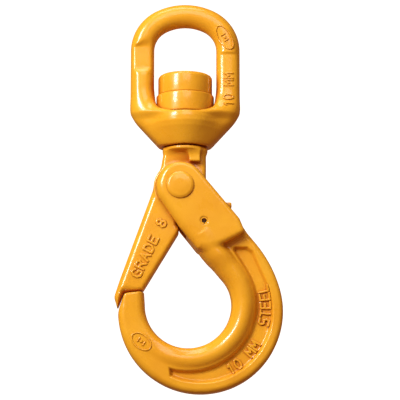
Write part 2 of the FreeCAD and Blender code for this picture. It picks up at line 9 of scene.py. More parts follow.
import bmesh
import bpy
import numpy as np
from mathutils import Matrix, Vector


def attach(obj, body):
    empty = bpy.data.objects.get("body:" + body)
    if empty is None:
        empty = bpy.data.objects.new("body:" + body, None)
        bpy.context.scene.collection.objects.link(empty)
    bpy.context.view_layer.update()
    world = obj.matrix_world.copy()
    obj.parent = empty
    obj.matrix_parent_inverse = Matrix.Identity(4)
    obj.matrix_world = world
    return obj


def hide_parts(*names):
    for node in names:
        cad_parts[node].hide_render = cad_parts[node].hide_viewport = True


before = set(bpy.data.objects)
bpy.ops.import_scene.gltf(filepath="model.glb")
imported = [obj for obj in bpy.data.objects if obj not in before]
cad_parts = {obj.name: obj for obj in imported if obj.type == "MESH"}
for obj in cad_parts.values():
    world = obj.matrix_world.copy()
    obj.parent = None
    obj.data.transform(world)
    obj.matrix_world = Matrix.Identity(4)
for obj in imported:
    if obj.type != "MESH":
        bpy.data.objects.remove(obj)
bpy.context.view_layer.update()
MM = 0.001

# ---------------------------------------------------------------- main measures (mm)

# (x, z) centres of the load pin, the trigger pin, the bowl and the hook's round back
PIVOT = (-3.2, -111.5)
TRIGGER = (12.6, -135.4)
BOWL = (2.1, -189.8)
BOWL_R = 28.5
RIM = (10.3, -194.0)
RIM_R = 54.3
# the hook's bar leans from the vertical: DOWN runs along it, OUT towards the hook's back
LEAN = math.radians(39.5)
DOWN = (math.sin(LEAN), -math.cos(LEAN))
OUT = (math.cos(LEAN), math.sin(LEAN))
CHEEK_R = 16.04
BACK_OFFSET = 14.7
# half thicknesses, radii and heights; the bores are those of the visual pieces
WEB_HALF = 8.0
PANEL_HALF = 5.0
CHEEK_HALF = 15.0
SLOT_HALF = 7.25
SLOT_DEPTH = 10.5
SLOT_END = -144
PIN_BORE = 7.05
GATE_PIN_BORE = 7.06
TRIGGER_PIN_BORE = 2.54
BLADE_HALF = 6.9
DISC_R = 17.75
LUG_HALF = 11.0
NOTCH_R = 14.5
NOTCH_TURN = (-92, -71)
BOSS_TOP = -61.6
BOSS_FOOT = -83.6
SEAT_R = 20.0
LINK_BORE = 9.58
LEVER_HALF = 6.8
WELL_HALF = 3.1
WELL_REACH = 4.9
LEVER_BORE = 2.56


def polar(centre, radius, degrees):
    turn = math.radians(degrees)
    return (centre[0] + radius * math.cos(turn), centre[1] + radius * math.sin(turn))


def arc(centre, radius, start, end, step):
    """Points along an arc, ends included, about every step degrees."""
    count = max(2, int(abs(end - start) / step) + 1)
    return [polar(centre, radius, a) for a in np.linspace(start, end, count)]


def corner(a, b, c, radius, count=5):
    """The tangent arc that rounds the corner b between a and c, as points."""
    va = np.subtract(a, b)
    vc = np.subtract(c, b)
    va = va / np.linalg.norm(va)
    vc = vc / np.linalg.norm(vc)
    half = math.acos(np.clip(va @ vc, -1, 1)) / 2
    middle = (va + vc) / np.linalg.norm(va + vc)
    centre = np.array(b) + middle * radius / math.sin(half)
    foot_a = np.array(b) + va * radius / math.tan(half) - centre
    foot_c = np.array(b) + vc * radius / math.tan(half) - centre
    blend = [foot_a * (1 - t) + foot_c * t for t in np.linspace(0, 1, count)]
    return [tuple(centre + v / np.linalg.norm(v) * radius) for v in blend]


def rounded(corners):
    """A closed outline through (x, z, radius) corners."""
    points = []
    count = len(corners)
    for i, (x, z, radius) in enumerate(corners):
        if radius:
            points += corner(corners[i - 1][:2], (x, z), corners[(i + 1) % count][:2], radius)
        else:
            points.append((x, z))
    return points


# ---------------------------------------------------------------- distance fields


def outside(x, z, outline):
    """Signed distance to a closed outline in the XZ plane: negative inside."""
    best = np.full(np.broadcast(x, z).shape, 1e9)
    inside = np.zeros(best.shape, bool)
    for (ax, az), (bx, bz) in zip(outline, outline[1:] + outline[:1]):
        ex = bx - ax
        ez = bz - az
        px = x - ax
        pz = z - az
        t = np.clip((px * ex + pz * ez) / (ex * ex + ez * ez + 1e-12), 0, 1)
        best = np.minimum(best, (px - ex * t) ** 2 + (pz - ez * t) ** 2)
        crosses = (az > z) != (bz > z)
        inside ^= crosses & (px * ez - pz * ex < 0 if bz > az else px * ez - pz * ex > 0)
    return np.where(inside, -1, 1) * np.sqrt(best)


def line_gap(x, z, points):
    """Distance to an open line through points."""
    best = 1e9
    for (ax, az), (bx, bz) in zip(points, points[1:]):
        ex = bx - ax
        ez = bz - az
        px = x - ax
        pz = z - az
        t = np.clip((px * ex + pz * ez) / (ex * ex + ez * ez + 1e-12), 0, 1)
        best = np.minimum(best, (px - ex * t) ** 2 + (pz - ez * t) ** 2)
    return np.sqrt(best)


def slab(side, y, half, radius):
    """A plate from its outline distance, half a thickness each way, with rounded edges."""
    a = side + radius
    b = np.abs(y) - half + radius
    return np.minimum(np.maximum(a, b), 0) + np.hypot(np.maximum(a, 0), np.maximum(b, 0)) - radius


def join(a, b, radius):
    """Union with a fillet of about radius."""
    gap = np.maximum(radius - np.abs(a - b), 0) / radius
    return np.minimum(a, b) - gap * gap * radius / 4


def carve(a, b, radius):
    """a without b, the new edge rounded by about radius."""
    gap = np.maximum(radius - np.abs(a + b), 0) / radius
    return np.maximum(a, -b) + gap * gap * radius / 4


def keep(a, b, radius):
    """The part of a that is in b."""
    return carve(a, -b, radius)


def ease(low, high, value):
    """0 below low, 1 above high, smooth between."""
    t = np.clip((value - low) / (high - low), 0, 1)
    return t * t * (3 - 2 * t)


# ---------------------------------------------------------------- surface net


def crossing_edges(field, axis):
    """Grid edges along axis whose ends have opposite signs: their low corners, place and sign."""
    low = [slice(None)] * 3
    high = [slice(None)] * 3
    low[axis] = slice(None, -1)
    high[axis] = slice(1, None)
    a = field[tuple(low)]
    b = field[tuple(high)]
    spots = np.argwhere((a < 0) != (b < 0))
    first = a[tuple(spots.T)]
    second = b[tuple(spots.T)]
    place = spots.astype(float)
    place[:, axis] += first / (first - second)
    return spots, place, first < 0


def surface_net(field):
    """Vertices (in grid steps) and quads of the zero surface, one vertex per crossed cell."""
    cells = np.array(field.shape) - 1
    total = int(np.prod(cells))
    weight = np.zeros(total)
    sums = [np.zeros(total) for axis in range(3)]
    rings = []
    for axis in range(3):
        spots, place, leaving = crossing_edges(field, axis)
        u = (axis + 1) % 3
        v = (axis + 2) % 3
        ring = []
        for du, dv in ((-1, -1), (0, -1), (0, 0), (-1, 0)):
            cell = spots.copy()
            cell[:, u] += du
            cell[:, v] += dv
            ring.append((cell[:, 0] * cells[1] + cell[:, 1]) * cells[2] + cell[:, 2])
        ring = np.array(ring).T
        for k in range(4):
            weight += np.bincount(ring[:, k], minlength=total)
            for c in range(3):
                sums[c] += np.bincount(ring[:, k], place[:, c], total)
        ring[~leaving] = ring[~leaving][:, ::-1]
        rings.append(ring)
    used = np.flatnonzero(weight)
    number = np.full(total, -1)
    number[used] = np.arange(len(used))
    corners = np.stack([s[used] / weight[used] for s in sums], axis=1)
    return corners, number[np.concatenate(rings)]


def forge(name, shape, low, high, step, slides=3):
    """A mesh object of the field shape(x, y, z) < 0 inside the box low..high, in millimetres."""
    low = np.array(low, float)
    counts = np.ceil((np.array(high) - low) / step).astype(int) + 1
    x = (low[0] + step * np.arange(counts[0])).reshape(-1, 1, 1)
    y = (low[1] + step * np.arange(counts[1])).reshape(1, -1, 1)
    z = (low[2] + step * np.arange(counts[2])).reshape(1, 1, -1)
    field = np.broadcast_to(shape(x, y, z), tuple(counts))
    corners, quads = surface_net(field)
    points = low + corners * step
    nudge = 0.02
    for turn in range(slides):
        px, py, pz = points.T
        value = shape(px, py, pz)
        slope = np.stack([
            shape(px + nudge, py, pz) - shape(px - nudge, py, pz),
            shape(px, py + nudge, pz) - shape(px, py - nudge, pz),
            shape(px, py, pz + nudge) - shape(px, py, pz - nudge),
        ], axis=1) / (2 * nudge)
        steep = np.maximum((slope ** 2).sum(axis=1), 0.2)
        move = -(value / steep)[:, None] * slope
        reach = np.linalg.norm(move, axis=1)
        limit = np.minimum(1, 0.5 * step / np.maximum(reach, 1e-9))
        points = points + move * limit[:, None]
    mesh = bpy.data.meshes.new(name)
    mesh.vertices.add(len(points))
    mesh.vertices.foreach_set("co", (points * MM).ravel())
    mesh.loops.add(quads.size)
    mesh.loops.foreach_set("vertex_index", quads.ravel())
    mesh.polygons.add(len(quads))
    mesh.polygons.foreach_set("loop_start", np.arange(0, quads.size, 4))
    mesh.polygons.foreach_set("use_smooth", np.ones(len(quads), bool))
    mesh.update()
    mesh.validate()
    thing = bpy.data.objects.new(name, mesh)
    bpy.context.scene.collection.objects.link(thing)
    return thing


# ---------------------------------------------------------------- raised lettering

STROKES = {
    "A": [[(0, 0), (0.5, 1), (1, 0)], [(0.2, 0.38), (0.8, 0.38)]],
    "D": [[(0, 0), (0, 1), (0.6, 1), (1, 0.7), (1, 0.3), (0.6, 0), (0, 0)]],
    "E": [[(1, 0), (0, 0), (0, 1), (1, 1)], [(0, 0.52), (0.8, 0.52)]],
    "G": [[(1, 0.8), (0.7, 1), (0.3, 1), (0, 0.7), (0, 0.3), (0.3, 0), (1, 0), (1, 0.45), (0.6, 0.45)]],
    "L": [[(0, 1), (0, 0), (0.9, 0)]],
    "M": [[(0, 0), (0, 1), (0.5, 0.4), (1, 1), (1, 0)]],
    "R": [[(0, 0), (0, 1), (0.7, 1), (1, 0.8), (0.7, 0.5), (0, 0.5)], [(0.5, 0.5), (1, 0)]],
    "S": [[(0, 0), (0.8, 0), (1, 0.27), (0.8, 0.5), (0.2, 0.5), (0, 0.75), (0.2, 1), (1, 1)]],
    "T": [[(0.5, 0), (0.5, 1)], [(0, 1), (1, 1)]],
    "0": [[(0.3, 0), (0.05, 0.3), (0.05, 0.7), (0.3, 1),
           (0.7, 1), (0.95, 0.7), (0.95, 0.3), (0.7, 0), (0.3, 0)]],
    "1": [[(0.2, 0.75), (0.55, 1), (0.55, 0)]],
    "8": [[(0.3, 0.52), (0.05, 0.75), (0.3, 1), (0.7, 1), (0.95, 0.75), (0.7, 0.52), (0.3, 0.52),
           (0, 0.25), (0.3, 0), (0.7, 0), (1, 0.25), (0.7, 0.52)]],
}


def letter_gap(u, v, text, height, width, pitch):
    """Distance to the strokes of a row of capitals whose first one stands at u, v = 0, 0."""
    best = np.full(np.broadcast(u, v).shape, 1e3)
    for place, sign in enumerate(text):
        left = place * pitch
        near = (u > left - 3) & (u < left + width + 3) & (v > -3) & (v < height + 3)
        if sign == " " or not near.any():
            continue
        pu = np.broadcast_to(u, best.shape)[near]
        pv = np.broadcast_to(v, best.shape)[near]
        for stroke in STROKES[sign]:
            line = [(left + a * width, b * height) for a, b in stroke]
            best[near] = np.minimum(best[near], line_gap(pu, pv, line))
    return best


def arc_letters(x, z, centre, foot_radius, start, text, height, width, pitch):
    """Lettering round a circle, anticlockwise from the angle start, its feet on the outside."""
    radius = np.hypot(x - centre[0], z - centre[1])
    angle = np.degrees(np.arctan2(z - centre[1], x - centre[0]))
    swing = (angle - start + 180) % 360 - 180
    u = np.radians(swing) * foot_radius
    return letter_gap(u, foot_radius - radius, text, height, width, pitch)


def row_letters(x, z, foot, direction, text, height, width, pitch):
    """Lettering in a straight row from foot, reading along direction (degrees)."""
    turn = math.radians(direction)
    u = (x - foot[0]) * math.cos(turn) + (z - foot[1]) * math.sin(turn)
    v = (z - foot[1]) * math.cos(turn) - (x - foot[0]) * math.sin(turn)
    return letter_gap(u, v, text, height, width, pitch)


def oval_mark(x, z, centre, direction, length, width):
    """Distance to a plain stamp: an oval ring round two short bars and a dot."""
    turn = math.radians(direction)
    u = (x - centre[0]) * math.cos(turn) + (z - centre[1]) * math.sin(turn)
    v = (z - centre[1]) * math.cos(turn) - (x - centre[0]) * math.sin(turn)
    ratio = np.hypot(u / length, v / width) * 2
    slope = np.hypot(u / length ** 2, v / width ** 2) * 4 + 1e-6
    ring = np.abs(ratio - 1) * ratio / slope
    bars = [line_gap(u, v, [(place, -1.4), (place, 1.4)]) for place in (-2.2, 2.2)]
    dot = np.hypot(u, v) - 0.5
    return np.minimum(np.minimum(ring, np.minimum(*bars)), dot)


def relief(shape, gap, rise, stroke):
    """The field of strokes raised on a forging's front: gap(x, z) is the distance to the strokes."""
    def field(x, y, z):
        surface = shape(x, y, z)
        wall = gap(x, z) - stroke
        top = surface - rise
        return np.maximum(keep(top, wall, 0.45), -surface - 0.5)
    return field


# ---------------------------------------------------------------- hook body

BACK_START = 15.0
BACK_LINE = (PIVOT[0] - RIM[0]) * OUT[0] + (PIVOT[1] - RIM[1]) * OUT[1] + BACK_OFFSET
FOLD = math.cos(LEAN - math.radians(BACK_START))
BACK_R = (BACK_LINE - RIM_R * FOLD) / (1 - FOLD)
BACK_CENTRE = polar(RIM, RIM_R - BACK_R, BACK_START)


def along(start, run, out=0.0):
    """The point that lies run down the bar from start and out towards the hook's back."""
    return (start[0] + DOWN[0] * run + OUT[0] * out, start[1] + DOWN[1] * run + OUT[1] * out)


INNER_EDGE = BOWL_R + 0.6
WEB = [along(PIVOT, 0, BACK_OFFSET)]
WEB += arc(BACK_CENTRE, BACK_R, math.degrees(LEAN), BACK_START, 2.5)
WEB += arc(RIM, RIM_R, BACK_START - 3, 178 - 360, 3)
WEB += [(-43.4, -189.0), (-43.4, -179.0), (-27.9, -177.0)]
WEB += arc(BOWL, INNER_EDGE, 180 - 360, math.degrees(LEAN), 3)
WEB += [along(polar(BOWL, INNER_EDGE, math.degrees(LEAN)), -30)]

PANEL_IN = 43.4
PANEL_INSET = 6.4
KEEL = (-115, -107)
PANEL = [along(BOWL, -2, PANEL_IN + 1.0), along(BOWL, -8.5, 45.0), along(BOWL, -10.2, 46.6)]
PANEL += [along(BOWL, -9.8, 48.4), along(BOWL, -4.5, 54.6), along(BOWL, 0.5, 55.6)]
PANEL += arc(RIM, RIM_R - PANEL_INSET, 24, KEEL[0], 3)
PANEL += arc(BOWL, PANEL_IN, KEEL[1], 30, 3)

CHEEK = arc(PIVOT, CHEEK_R, math.degrees(LEAN), math.degrees(LEAN) + 180, 5)
CHEEK += [along(PIVOT, 22, -18.0), along(PIVOT, 37, -18.2)]
CHEEK += corner(along(PIVOT, 22, -18.0), along(PIVOT, 40.4, -18.2), (12.6, -154.5), 3.0)
CHEEK += [(12.6, -154.5), (17.8, -153.6), (23.7, -151.5), (32.9, -146.4)]
CHEEK += corner((32.9, -146.4), (39.6, -142.6), along(PIVOT, 42, 16.1), 2.0)
CHEEK += corner((39.6, -142.6), along(PIVOT, 42, 16.1), along(PIVOT, 20, 16.1), 5.0)

TIP_TOP = rounded([
    (-60.0, -150.0, 0), (-20.0, -150.0, 0), (-20.0, -180.0, 0), (-27.4, -180.95, 0),
    (-39.7, -182.55, 1.6), (-43.3, -191.9, 0), (-44.6, -195.5, 0), (-60.0, -200.0, 0),
])

BEAD_TURN = (0, 20, 40, 80, 120, 145, 165, 185, 205, 235)
BEAD_WIDTH = (8.9, 8.7, 8.6, 8.5, 8.4, 8.2, 8.2, 8.2, 8.2, 8.2)
BEAD_HEIGHT = (12.8, 12.5, 12.1, 11.4, 10.6, 9.6, 8.4, 7.8, 7.6, 7.5)
BEAD_INNER = (27.5, 28.2, 28.5, 28.5, 28.5, 28.5, 28.5, 28.5, 28.5, 28.5)


def bead_shape(x, y, z):
    """The round bead: straight up the bar, then round the bowl to the tip."""
    px = x - BOWL[0]
    pz = z - BOWL[1]
    run = px * DOWN[0] + pz * DOWN[1]
    out = px * OUT[0] + pz * OUT[1]
    on_bar = (run < 0) & (out > 0)
    on_tip = (pz > 0) & (px < 0)
    angle = np.degrees(np.arctan2(pz, px))
    turned = np.where(on_bar, 0, (math.degrees(LEAN) - angle) % 360)
    turned = np.where(on_tip, BEAD_TURN[-1], turned)
    wide = np.interp(turned, BEAD_TURN, BEAD_WIDTH)
    tall = np.interp(turned, BEAD_TURN, BEAD_HEIGHT)
    inner = np.interp(turned, BEAD_TURN, BEAD_INNER)
    inner = inner + np.where(on_bar, 1.5 * ease(-19, -27, run) - 0.6 * ease(-6, -15, run), 0)
    tall = tall + np.where(on_bar, 1.9 * ease(0, -13, run), 0)
    bar = np.maximum(out, 0)
    tip = -px - 0.07 * pz
    across = np.where(on_bar, bar, np.where(on_tip, tip, np.hypot(px, pz))) - inner - wide
    ratio = np.hypot(across / wide, y / tall) + 1e-6
    slope = np.hypot(across / wide ** 2, y / tall ** 2) + 1e-6
    tube = ratio * (ratio - 1) / slope
    end = np.where(on_bar, -run - 29, np.where(on_tip, pz - 20, -20))
    return np.maximum(tube, end)


def hook_shape(x, y, z):
    """Web, bead, recessed panel and the fork's cheeks, less the tip's cut, slot and pin bores."""
    edge = 3.4 + 1.6 * ease(0, -30, x)
    web = slab(outside(x, z, WEB), y, WEB_HALF, edge)
    panel = outside(x, z, PANEL)
    web = np.maximum(web, (np.abs(y) - PANEL_HALF - 3.0 * ease(-2.4, 0.4, panel)) * 0.7)
    body = join(web, bead_shape(x, y, z), 1.2)
    inner = -((x - PIVOT[0]) * OUT[0] + (z - PIVOT[1]) * OUT[1])
    below = (x - PIVOT[0]) * DOWN[0] + (z - PIVOT[1]) * DOWN[1]
    radius = 2.8 + 2.8 * ease(-8, 8, inner) * ease(60, 30, below)
    cheeks = slab(outside(x, z, CHEEK), y, CHEEK_HALF, radius)
    body = join(body, cheeks, 2.6)
    body = carve(body, outside(x, z, TIP_TOP), 1.6)
    floor = (x - TRIGGER[0]) * DOWN[0] + (z - TRIGGER[1]) * DOWN[1] - SLOT_DEPTH
    slot = np.maximum(np.abs(y) - SLOT_HALF, np.maximum(floor, SLOT_END - z))
    body = carve(body, slot, 0.9)
    body = carve(body, np.hypot(x - TRIGGER[0], z - TRIGGER[1]) - TRIGGER_PIN_BORE, 0.5)
    body = carve(body, np.hypot(x - PIVOT[0], z - PIVOT[1]) - PIN_BORE, 0.5)
    return body


# ---------------------------------------------------------------- gate forging

GATE = rounded([
    (14.0, -85.4, 0), (14.0, -108.5, 1), (2.0, -112.0, 1), (-5.4, -128.6, 0.5),
    (-5.4, -136.8, 1.5), (-2.9, -139.6, 0.8), (-27.5, -180.4, 0.9), (-40.2, -182.0, 2.0),
    (-43.9, -191.5, 0.15), (-44.6, -191.8, 0.15), (-46.7, -184.8, 6), (-43.2, -174.0, 30),
    (-23.4, -118.6, 30), (-16.0, -97.4, 14), (-14.0, -85.4, 0),
])
SHANK = [(0, -33.6), (8.1, -33.6), (9.0, -34.5), (9.0, -51.4), (9.5, -51.4), (9.5, -84.3)]
SHANK += [(13.7, -84.3), (14.1, -84.7), (14.1, -86.3), (9.6, -88.4), (6.9, -91.2), (0, -92.0)]
LUG = rounded([(2.7, -87.2, 0.5), (10.1, -87.2, 0.5), (10.1, -94.8, 0.9), (2.7, -94.8, 0.9)])


def gate_shape(x, y, z):
    """Gate leg, pivot disc, lug and turned shank in one, less the lock notch and the pin bore."""
    thick = BLADE_HALF + 0.5 * ease(-128, -150, z)
    outer = (z + 152.5) * 0.407 - (x + 23.5) * 0.913
    leg = slab(outside(x, z, GATE), y, thick, 2.8 + 1.9 * ease(-4, 4, outer) * ease(-92, -112, z))
    disc = slab(np.hypot(x - PIVOT[0], z - PIVOT[1]) - DISC_R, y, BLADE_HALF, 1.0)
    body = join(leg, disc, 1.0)
    lug = slab(outside(x, z, LUG), y, LUG_HALF, 1.0)
    neck = outside(np.hypot(x, y), z, SHANK + [(-1, -92.0), (-1, -33.6)])
    body = join(body, lug, 0.6)
    body = join(body, neck, 4.0)
    radius = np.hypot(x - PIVOT[0], z - PIVOT[1])
    angle = np.degrees(np.arctan2(z - PIVOT[1], x - PIVOT[0]))
    notch = np.maximum(NOTCH_R - radius, np.maximum(angle - NOTCH_TURN[1], NOTCH_TURN[0] - angle) * 0.28)
    body = carve(body, notch, 0.4)
    return carve(body, radius - GATE_PIN_BORE, 0.4)


# ---------------------------------------------------------------- swivel link

LEG = 28.9
BAR = 7.95
CROWN = 36.0
SHOULDER = 23.0
ELBOW = 14.0
SHOULDER_X = LEG - SHOULDER
CROWN_RISE = math.sqrt((CROWN - SHOULDER) ** 2 - SHOULDER_X ** 2)
CROWN_TURN = math.degrees(math.atan2(CROWN_RISE, SHOULDER_X))
SHOULDER_Z = BAR - CROWN + CROWN_RISE
EYE = [(14.0, -75.7)]
EYE += arc((LEG - ELBOW, -55.0), ELBOW, -45, 0, 6)
EYE += arc((SHOULDER_X, SHOULDER_Z), SHOULDER, 0, CROWN_TURN, 4)
EYE += arc((0, BAR - CROWN), CROWN, CROWN_TURN, 180 - CROWN_TURN, 4)
EYE += arc((-SHOULDER_X, SHOULDER_Z), SHOULDER, 180 - CROWN_TURN, 180, 4)
EYE += arc((ELBOW - LEG, -55.0), ELBOW, 180, 225, 6)
EYE += [(-14.0, -75.7)]
BOSS = [(0, BOSS_TOP), (20.4, BOSS_TOP), (21.9, -62.8), (22.4, -65.2), (22.3, -68.6), (21.2, -72.0)]
BOSS += [(16.6, -81.4), (15.2, BOSS_FOOT), (0, BOSS_FOOT), (-1, BOSS_FOOT), (-1, BOSS_TOP)]
FLANK = (19.6 + 81.3) * math.sqrt(0.5)


def link_shape(x, y, z):
    """Bent bar and boss in one, with flats on the legs, less the bearing seat and the bore."""
    bar = np.hypot(line_gap(x, z, EYE), y) - BAR
    pad = ease(0, 10, x) * ease(-18.6, -20, z) * ease(-60, -50, z)
    ramp = -13.2 + 0.7 * np.clip(x + 35, 0, 14)
    grip = ease(0, -10, x) * ease(ramp, -14.8, z) * ease(-35, -29, z)
    bar = keep(bar, np.abs(y) - BAR - 1.2 + 1.9 * pad, 3.0)
    bar = keep(bar, np.abs(y) - BAR - 0.5 + 2.8 * grip, 1.2)
    radius = np.hypot(x, y)
    boss = outside(radius, z, BOSS)
    body = join(bar, boss, 11.0 + 10.0 * ease(-66, -60, z))
    body = keep(body, (np.abs(x) - z) * math.sqrt(0.5) - FLANK, 2.0)
    body = keep(body, BOSS_FOOT - z, 1.0)
    seat = np.maximum(radius - SEAT_R, np.maximum(BOSS_TOP - z, z + 46.5))
    body = carve(body, seat, 1.2)
    return carve(body, np.maximum(radius - LINK_BORE, z + 55), 0.5)


# ---------------------------------------------------------------- trigger

ARMS = rounded([
    (-2.8, -130.0, 0.8), (2.6, -129.2, 0.8), (5.6, -131.2, 2), (10.6, -129.6, 2),
    (17.0, -129.6, 3), (23.6, -121.7, 2), (30.8, -121.7, 0.9), (31.0, -124.4, 1),
    (29.0, -128.4, 4), (18.4, -139.0, 4), (9.0, -141.4, 3), (2.0, -134.8, 4), (-2.8, -133.4, 0.8),
])


def trigger_shape(x, y, z):
    """Nose, hub and thumb ledge in one plate, less the spring's well and the pin bore."""
    body = slab(outside(x, z, ARMS), y, LEVER_HALF, 1.1)
    px = x - TRIGGER[0]
    pz = z - TRIGGER[1]
    run = px * DOWN[0] + pz * DOWN[1]
    out = px * OUT[0] + pz * OUT[1]
    well = np.maximum(np.maximum(np.abs(y) - WELL_HALF, np.abs(out) - WELL_REACH), -WELL_REACH - run)
    body = carve(body, well, 0.5)
    return carve(body, np.hypot(px, pz) - LEVER_BORE, 0.3)


# ---------------------------------------------------------------- pieces


def hook_words(x, z):
    return arc_letters(x, z, (6.5, -192.0), 49.5, -62, "10 MM  STEEL", 6.2, 4.2, 5.9)


def hook_oval(x, z):
    return oval_mark(x, z, (-28.4, -214.6), -38, 14.5, 9.0)


def gate_words(x, z):
    return row_letters(x, z, (-30.0, -172.7), 64.4, "GRADE 8", 6.0, 4.2, 6.2)


def link_words(x, z):
    return row_letters(x, z, (32.1, -56.5), 90, "10 MM", 6.2, 3.6, 4.9)


def link_oval(x, z):
    return oval_mark(x, z, (26.6, -8.6), -60, 18.0, 8.6)


FINE = 0.62

hook = forge("hook_forging", hook_shape, (-46, -16, -250), (67, 16, -93), FINE)
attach(hook, "hook")
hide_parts("hook_body")

gate = forge("gate_forging", gate_shape, (-49, -15.5, -194), (17, 15.5, -32), FINE)
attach(gate, "shank")
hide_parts("gate_shank")

link = forge("link_forging", link_shape, (-39, -24, -85.5), (39, 24, 18), FINE)
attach(link, "link")
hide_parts("swivel_link")

lever = forge("trigger_lever", trigger_shape, (-5, -8, -143), (33, 8, -120), FINE * 0.8)
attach(lever, "trigger")
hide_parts("trigger")


# ---------------------------------------------------------------- raised marks


def marked(name, body, shape, gap, low, high, rise=0.8, stroke=0.76):
    """Raised strokes on a forging's front as a piece of their own, riding on that forging's body."""
    piece = forge(name, relief(shape, gap, rise, stroke), low, high, FINE * 0.45)
    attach(piece, body)
    return piece


marks = [
    marked("hook_lettering", "hook", hook_shape, hook_words, (8, -9, -243), (62, -4.5, -166)),
    marked("hook_stamp", "hook", hook_shape, hook_oval, (-38, -10.5, -224), (-19, -5, -206), 0.6, 0.5),
    marked("gate_lettering", "shank", gate_shape, gate_words, (-40, -9, -177), (-9, -5, -124)),
    marked("link_lettering", "link", link_shape, link_words, (24, -10.8, -60), (34, -5, -30), 0.6, 0.5),
    marked("link_stamp", "link", link_shape, link_oval, (17, -9.5, -21), (36, -3, 3), 0.6, 0.5),
]

# ---------------------------------------------------------------- turned pieces


def lathe(name, corners, segments=144):
    """A solid of revolution about Z through (radius, height, rounding) corners, in millimetres."""
    profile = rounded(corners)
    mesh = bpy.data.meshes.new(name)
    shell = bmesh.new()
    rings = []
    for radius, height in profile:
        if radius < 1e-6:
            rings.append([shell.verts.new((0, 0, height * MM))] * segments)
            continue
        ring = []
        for i in range(segments):
            turn = 2 * math.pi * i / segments
            spot = (radius * math.cos(turn), radius * math.sin(turn), height)
            ring.append(shell.verts.new(Vector(spot) * MM))
        rings.append(ring)
    for a, b in zip(rings, rings[1:] + rings[:1]):
        for i in range(segments):
            j = (i + 1) % segments
            around = []
            for vert in (a[i], b[i], b[j], a[j]):
                if vert not in around:
                    around.append(vert)
            if len(around) > 2:
                shell.faces.new(around).smooth = True
    bmesh.ops.recalc_face_normals(shell, faces=shell.faces)
    shell.to_mesh(mesh)
    shell.free()
    thing = bpy.data.objects.new(name, mesh)
    bpy.context.scene.collection.objects.link(thing)
    return thing


def stand_across(thing, place):
    """Turns a piece's own Z to Y and sets it at an (x, z) point of the mid-plane."""
    for vert in thing.data.vertices:
        x, y, z = vert.co
        vert.co = (x + place[0] * MM, z, -y + place[1] * MM)
    return thing


nut = lathe("round_nut", [
    (9.06, -48.2, 0.3), (18.2, -48.2, 0.7), (18.2, -34.2, 2.6), (12.4, -34.2, 0.8),
    (11.9, -34.7, 0.4), (9.06, -34.7, 0.3),
])
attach(nut, "shank")
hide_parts("swivel_nut")

cup = lathe("bearing_cup", [
    (9.06, -51.4, 0.1), (18.1, -51.4, 0.3), (18.1, -61.2, 0.2), (19.4, -61.2, 0.5),
    (19.4, -48.2, 0.9), (9.06, -48.2, 0.1),
])
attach(cup, "shank")
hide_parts("bearing_cover")

half_pin = [(7.0, 15.0, 0.0), (9.1, 15.0, 0.45), (8.95, 15.9, 0.8), (7.4, 16.75, 2.4)]
half_pin += [(4.0, 17.1, 6.0), (0.0, 17.2, 0.0)]
whole_pin = half_pin + [(r, -h, c) for r, h, c in reversed(half_pin)]
rivet = stand_across(lathe("rivet_pin", whole_pin), PIVOT)
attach(rivet, "hook")
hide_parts("load_pin")


# ---------------------------------------------------------------- materials


def coat_nodes(name, colour, crease_shade, nook_shade):
    """Glossy powder coat over a forging: orange peel, uneven tone patches, and painted shade darkening
    its creases and nooks.
    """
    material = bpy.data.materials.new(name)
    material.use_nodes = True
    tree = material.node_tree
    nodes = tree.nodes
    links = tree.links
    shader = nodes["Principled BSDF"]
    place = nodes.new("ShaderNodeTexCoord")

    def noise(scale, detail, rough=0.5):
        node = nodes.new("ShaderNodeTexNoise")
        node.inputs["Scale"].default_value = scale
        node.inputs["Detail"].default_value = detail
        node.inputs["Roughness"].default_value = rough
        links.new(place.outputs["Object"], node.inputs["Vector"])
        return node.outputs["Fac"]

    def spread(source, low, high, to_low, to_high):
        node = nodes.new("ShaderNodeMapRange")
        node.inputs["From Min"].default_value = low
        node.inputs["From Max"].default_value = high
        node.inputs["To Min"].default_value = to_low
        node.inputs["To Max"].default_value = to_high
        links.new(source, node.inputs["Value"])
        return node.outputs["Result"]

    def blend(factor, first, second):
        node = nodes.new("ShaderNodeMix")
        node.data_type = "RGBA"
        links.new(factor, node.inputs["Factor"])
        for socket, value in ((node.inputs[6], first), (node.inputs[7], second)):
            if isinstance(value, tuple):
                socket.default_value = value
            else:
                links.new(value, socket)
        return node.outputs[2]

    patches = spread(noise(38, 4), 0.35, 0.68, 0, 1)
    shade = blend(patches, colour, tuple(c * f for c, f in zip(colour, (0.93, 0.84, 0.7, 1))))
    # painted shade: concave creases (low pointiness) are blended towards a dark red-brown that stands in
    # for shade
    geometry = nodes.new("ShaderNodeNewGeometry")
    crease_shade_mask = spread(geometry.outputs["Pointiness"], 0.4, 0.475, 1, 0)
    shade = blend(crease_shade_mask, shade, crease_shade)
    # painted shade: nooks that ambient occlusion finds are blended towards a red-brown that stands in
    # for shade
    occlusion_shade = nodes.new("ShaderNodeAmbientOcclusion")
    occlusion_shade.inputs["Distance"].default_value = 0.011
    shade = blend(spread(occlusion_shade.outputs["AO"], 0.4, 0.86, 1, 0), shade, nook_shade)
    links.new(shade, shader.inputs["Base Color"])
    gloss = spread(noise(90, 5, 0.6), 0.3, 0.75, 0.24, 0.36)
    links.new(gloss, shader.inputs["Roughness"])
    shader.inputs["Specular IOR Level"].default_value = 0.3
    shader.inputs["Coat Weight"].default_value = 0.5
    shader.inputs["Coat Roughness"].default_value = 0.13
    peel = nodes.new("ShaderNodeBump")
    peel.inputs["Strength"].default_value = 0.06
    peel.inputs["Distance"].default_value = 0.0004
    links.new(noise(900, 2), peel.inputs["Height"])
    scale = nodes.new("ShaderNodeBump")
    scale.inputs["Strength"].default_value = 0.2
    scale.inputs["Distance"].default_value = 0.0012
    links.new(noise(140, 5, 0.55), scale.inputs["Height"])
    links.new(peel.outputs["Normal"], scale.inputs["Normal"])
    links.new(scale.outputs["Normal"], shader.inputs["Normal"])
    return material


